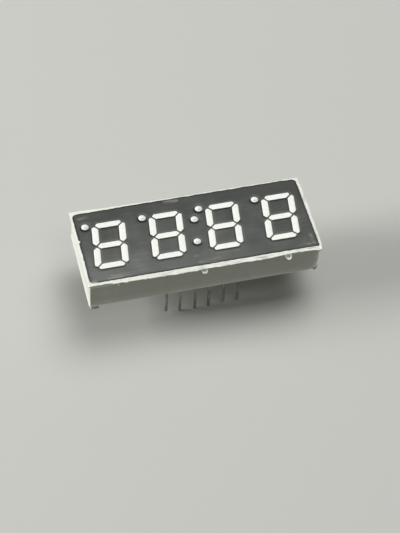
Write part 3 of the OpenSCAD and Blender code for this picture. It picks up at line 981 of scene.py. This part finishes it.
def casting(name, node, outline, material, height):
    """Builds one cast epoxy piece: a top at a height, sides down its window, and a funnel to its chip."""
    bm = bmesh.new()
    outline = np.array(outline)
    outline = [tuple(p) for p in outline + CAST_GAP * (np.mean(outline, axis=0) - outline)]
    inner = net(outline, CAST_NET, CAST_CLEAR)
    for inset in CAST_LOOPS:
        inner += shrunk(outline, inset)
    fill(bm, outline, [], inner, height)
    middle = np.mean(outline, axis=0)
    top = [(x, y, z) for (x, y), z in zip(outline, height(np.array(outline)))]
    foot = [tuple(p) for p in middle + 0.98 * (np.array(funnel_foot(outline, middle)) - middle)]
    rows = skin(bm, [top, lift(outline, FACE_Z - WINDOW_DEPTH), lift(foot, BOARD_TOP_Z)])
    bm.faces.new(rows[-1])
    return piece(name, bm, material, "segment_epoxy", node, sharp=50)


class DISPLAY_OT_bars(bpy.types.Operator):
    """Casts the 28 light bars: crowned, with rounded edges, each a little different"""

    bl_idname = "display_module.bars"
    bl_label = "Light bars"

    def execute(self, context):
        s = context.scene.display_module.epoxy
        edge, crown = s.edge / MM, s.crown / MM
        material = cast_epoxy(s)
        draw = random.Random(7)
        for node in BAR_NODES:
            outline = soften(window(node), s.corner / MM, BAR_STEP)
            rise, seed = draw.uniform(-0.015, 0.02), draw.uniform(0, 50)

            def height(points):
                inside = np.clip(depth(points, outline), 0, BAR_HALF)
                swell = crown * (1 - (1 - inside / BAR_HALF) ** 2)
                ripple = [0.008 * wander(x, y, 0.5, seed) for x, y in points]
                return BAR_Z + rise + rounded(inside, edge) + swell + np.array(ripple)

            casting(node.replace("segment", "bar"), node, outline, material, height)
        return {"FINISHED"}


class DISPLAY_OT_dots(bpy.types.Operator):
    """Casts the decimal points and the colon: low domes, each with a dimple where it set last"""

    bl_idname = "display_module.dots"
    bl_label = "Points and colon"

    def execute(self, context):
        s = context.scene.display_module.epoxy
        edge, dome, dimple = s.edge / MM, s.dome / MM, s.dimple / MM
        material = bpy.data.materials["cast_milky_epoxy"]
        draw = random.Random(11)
        for node in DOT_NODES:
            outline = window(node)
            middle = np.mean(outline, axis=0)
            radius = math.dist(middle, outline[0])
            off = np.array((draw.uniform(-0.08, 0.08), draw.uniform(0.2, 0.34)))

            def height(points):
                away = np.linalg.norm(np.array(points) - middle, axis=1) / radius
                drop = rounded(np.clip((1 - away) * radius, 0, edge), edge)
                hollow = np.linalg.norm(np.array(points) - middle - off, axis=1) / (DIMPLE_SHARE * radius)
                return BAR_Z + drop + dome * (1 - np.clip(away, 0, 1) ** 2) - dimple * np.exp(-(hollow**2))

            lens = casting(node + "_lens", node, outline, material, height)
            # Grey painted shade over the dimple, at the dimple's place
            away = (flat_points(lens) - middle - off) / DIMPLE_SHADE_SIZE
            keep(lens, "air", np.exp(-(away**2).sum(axis=1)))
        return {"FINISHED"}


class DISPLAY_OT_pins(bpy.types.Operator):
    """Draws the twelve wire pins, each a little bent, with a resin-wetted root and a sheared tip"""

    bl_idname = "display_module.pins"
    bl_label = "Wire pins"

    def execute(self, context):
        settings = context.scene.display_module
        material = tinned_wire(settings.pins)
        draw = random.Random(3)
        root_z = FEET_Z + settings.housing.foot_height / MM
        reach = settings.pins.wander / MM
        for node in PIN_NODES:
            low, high = span(node)
            middle, collar = (low + high).xy / 2, (high.x - low.x) / 2
            drawn = (draw.uniform(-reach, reach), draw.uniform(-reach, reach), draw.uniform(0, 0.5))
            shift_x, shift_y, short = PIN_TIPS.get(node, drawn)
            slant, turn, seed = draw.uniform(0.05, 0.16), draw.uniform(0, 2 * math.pi), draw.uniform(0, 50)
            rings = []
            for z, r in self.profile(root_z, short, collar):
                bent = 0
                if z < root_z:
                    bent = 0.8 * smooth_step(0, 1, (root_z - z) / 2.6) + 0.2 * (root_z - z) / root_z
                lump = 1 + 0.03 * wander(z, seed, 0.9, seed) if r <= PIN_RADIUS else 1
                ring = []
                for x, y in circle((0, 0), r * lump, PIN_POINTS):
                    cut = slant * (1 + math.cos(math.atan2(y, x) - turn)) * r if z < short + 0.2 else 0
                    ring.append((middle.x + shift_x * bent + x, middle.y + shift_y * bent + y, z + cut))
                rings.append(ring)
            bm = bmesh.new()
            rows = skin(bm, rings)
            bm.faces.new(rows[0])
            bm.faces.new(rows[-1])
            piece(node + "_wire", bm, material, "tinned_wire", node)
        return {"FINISHED"}

    def profile(self, root_z, short, collar):
        """Heights and radii down a pin: its collar, its wetted root, its wire and its sheared tip."""
        root = ((0.1, 1), (0.03, 0.97), (0, 0.85))
        neck = ((0.06, 1.2), (0.14, 1.05), (0.3, 1))
        tip = ((0.09, 0.98), (0.04, 0.9), (0, 0.72))
        first, last = root_z - 0.5, short + 0.16
        rows = [(BOARD_TOP_Z, collar)]
        rows += [(root_z + rise, collar * share) for rise, share in root]
        rows += [(root_z - drop, PIN_RADIUS * share) for drop, share in neck]
        rows += [(first + (last - first) * k / PIN_STEPS, PIN_RADIUS) for k in range(PIN_STEPS + 1)]
        return rows + [(short + rise, PIN_RADIUS * share) for rise, share in tip]


class DISPLAY_OT_resin(bpy.types.Operator):
    """Pours the resin over the back: slightly sunken, creeping up the walls and round the pins"""

    bl_idname = "display_module.resin"
    bl_label = "Back resin"

    def execute(self, context):
        settings = context.scene.display_module
        s, housing = settings.resin, settings.housing
        creep = s.meniscus / MM
        wall_x = RIM_X - housing.overhang / MM
        corner = housing.corner / MM - (wall_x - POCKET_X)
        outline = block_ring(housing, POCKET_X - 0.01, POCKET_Y - 0.01, corner, SQUARE_CORNER)
        low_z = span("back_potting")[0].z
        roots = [(span(node)[0] + span(node)[1]).xy / 2 for node in PIN_NODES]

        def surface(points):
            points = np.array(points)
            wall_gap = gap(points, outline)
            pin_gap = np.min([np.linalg.norm(points - np.array(r), axis=1) for r in roots], axis=0)
            slow = np.array([0.05 * wander(x, y, 5, 20) for x, y in points])
            round_pins = 1.4 * creep * np.exp(-np.clip(pin_gap - 0.42, 0, 9) / 0.3)
            return low_z + 0.05 + slow - creep * np.exp(-wall_gap / 0.45) - round_pins

        inner = net(outline, RESIN_NET, 0.3)
        for inset in WALL_LOOPS:
            inner += shrunk(outline, inset)[::2]
        for root in roots:
            for radius in PIN_LOOPS:
                ring = circle(root, radius, PIN_POINTS)
                inner += [p for p, d in zip(ring, depth(ring, outline)) if d > 0.1]
        bm = bmesh.new()
        fill(bm, outline, [], inner, surface)
        edge = [(x, y, z) for (x, y), z in zip(outline, surface(outline))]
        rows = skin(bm, [edge, lift(outline, BOARD_LOW_Z)])
        bm.faces.new(rows[-1])
        piece("back_resin", bm, poured_resin(s), "potting_resin", "back_potting")
        return {"FINISHED"}


class DISPLAY_OT_inner(bpy.types.Operator):
    """Finishes the parts inside, which keep their own shapes: board, chips and solder"""

    bl_idname = "display_module.inner"
    bl_label = "Board, chips and solder"

    def execute(self, context):
        crystal = diode_crystal()
        finishes = {node: crystal for node in CHIP_NODES}
        finishes["circuit_board"] = masked_laminate()
        finishes["pin_solder_joints"] = reflowed_solder()
        for node, material in finishes.items():
            NODES[node].data.materials.clear()
            NODES[node].data.materials.append(material)
        return {"FINISHED"}


class DISPLAY_OT_stage(bpy.types.Operator):
    """Sets the floor, the soft light and the camera"""

    bl_idname = "display_module.stage"
    bl_label = "Floor, light and camera"

    def execute(self, context):
        scene = context.scene
        s = scene.display_module.stage
        scene.view_settings.view_transform = "Standard"
        bm = bmesh.new()
        bmesh.ops.create_grid(bm, x_segments=2, y_segments=2, size=4)
        mesh = bpy.data.meshes.new("floor")
        bm.to_mesh(mesh)
        bm.free()
        mesh.materials.append(studio_floor(s))
        floor = bpy.data.objects.new("floor", mesh)
        scene.collection.objects.link(floor)
        self.add_world(scene, s)
        for name, (place, side) in LAMPS.items():
            self.add_light(scene, name + "_light", place, side, getattr(s, name))
        camera = bpy.data.objects.new("camera", bpy.data.cameras.new("camera"))
        camera.data.lens = s.lens
        camera.data.clip_start, camera.data.clip_end = 0.01, 20
        camera.location = Vector(CAMERA_PLACE) * MM
        aim = Vector(CAMERA_AIM) * MM - camera.location
        camera.rotation_mode = "QUATERNION"
        camera.rotation_quaternion = aim.to_track_quat("-Z", "Y") @ Quaternion((0, 0, 1), s.roll)
        scene.collection.objects.link(camera)
        scene.camera = camera
        return {"FINISHED"}

    def add_world(self, scene, s):
        """Even light from all round, and a pale background for the camera and for reflections."""
        scene.world = bpy.data.worlds.new("studio")
        scene.world.use_nodes = True
        tree = scene.world.node_tree
        strength = add(tree, "MapRange", {VALUE: seen(tree), TO_LOW: s.ambient, TO_HIGH: 0.8})
        background = tree.nodes["Background"]
        background.inputs["Color"].default_value = linear("#F4F4F2")
        tree.links.new(strength, background.inputs["Strength"])

    def add_light(self, scene, name, place, side, energy):
        """A square soft light that faces the object."""
        light = bpy.data.lights.new(name, "AREA")
        light.shape, light.size, light.energy = "SQUARE", side, energy
        made = bpy.data.objects.new(name, light)
        made.location = place
        made.rotation_mode = "QUATERNION"
        made.rotation_quaternion = (-Vector(place)).to_track_quat("-Z", "Y")
        scene.collection.objects.link(made)


OPERATORS = (
    DISPLAY_OT_stage,
    DISPLAY_OT_housing,
    DISPLAY_OT_ink,
    DISPLAY_OT_bars,
    DISPLAY_OT_dots,
    DISPLAY_OT_pins,
    DISPLAY_OT_resin,
    DISPLAY_OT_inner,
)


class DISPLAY_PT_module(bpy.types.Panel):
    """The display module's pieces and their settings"""

    bl_label = "Display Module"
    bl_space_type = "VIEW_3D"
    bl_region_type = "UI"
    bl_category = "Display Module"

    def draw(self, context):
        settings = context.scene.display_module
        for operator in OPERATORS:
            self.layout.operator(operator.bl_idname)
        for group in settings.bl_rna.properties.keys():
            if group in ("rna_type", "name"):
                continue
            box = self.layout.box()
            box.label(text=group.capitalize())
            held = getattr(settings, group)
            for name in held.bl_rna.properties.keys():
                if name not in ("rna_type", "name"):
                    box.prop(held, name)


GROUPS = (HousingSettings, InkSettings, EpoxySettings, PinSettings, ResinSettings, StageSettings)
CLASSES = (*GROUPS, ModuleSettings, *OPERATORS, DISPLAY_PT_module)


def register():
    for made in CLASSES:
        bpy.utils.register_class(made)
    bpy.types.Scene.display_module = bpy.props.PointerProperty(type=ModuleSettings)


def unregister():
    del bpy.types.Scene.display_module
    for made in reversed(CLASSES):
        bpy.utils.unregister_class(made)


def main():
    """Builds every piece in order."""
    register()
    bpy.ops.display_module.stage()
    bpy.ops.display_module.housing()
    bpy.ops.display_module.ink()
    bpy.ops.display_module.bars()
    bpy.ops.display_module.dots()
    bpy.ops.display_module.pins()
    bpy.ops.display_module.resin()
    bpy.ops.display_module.inner()


if __name__ == "__main__":
    main()
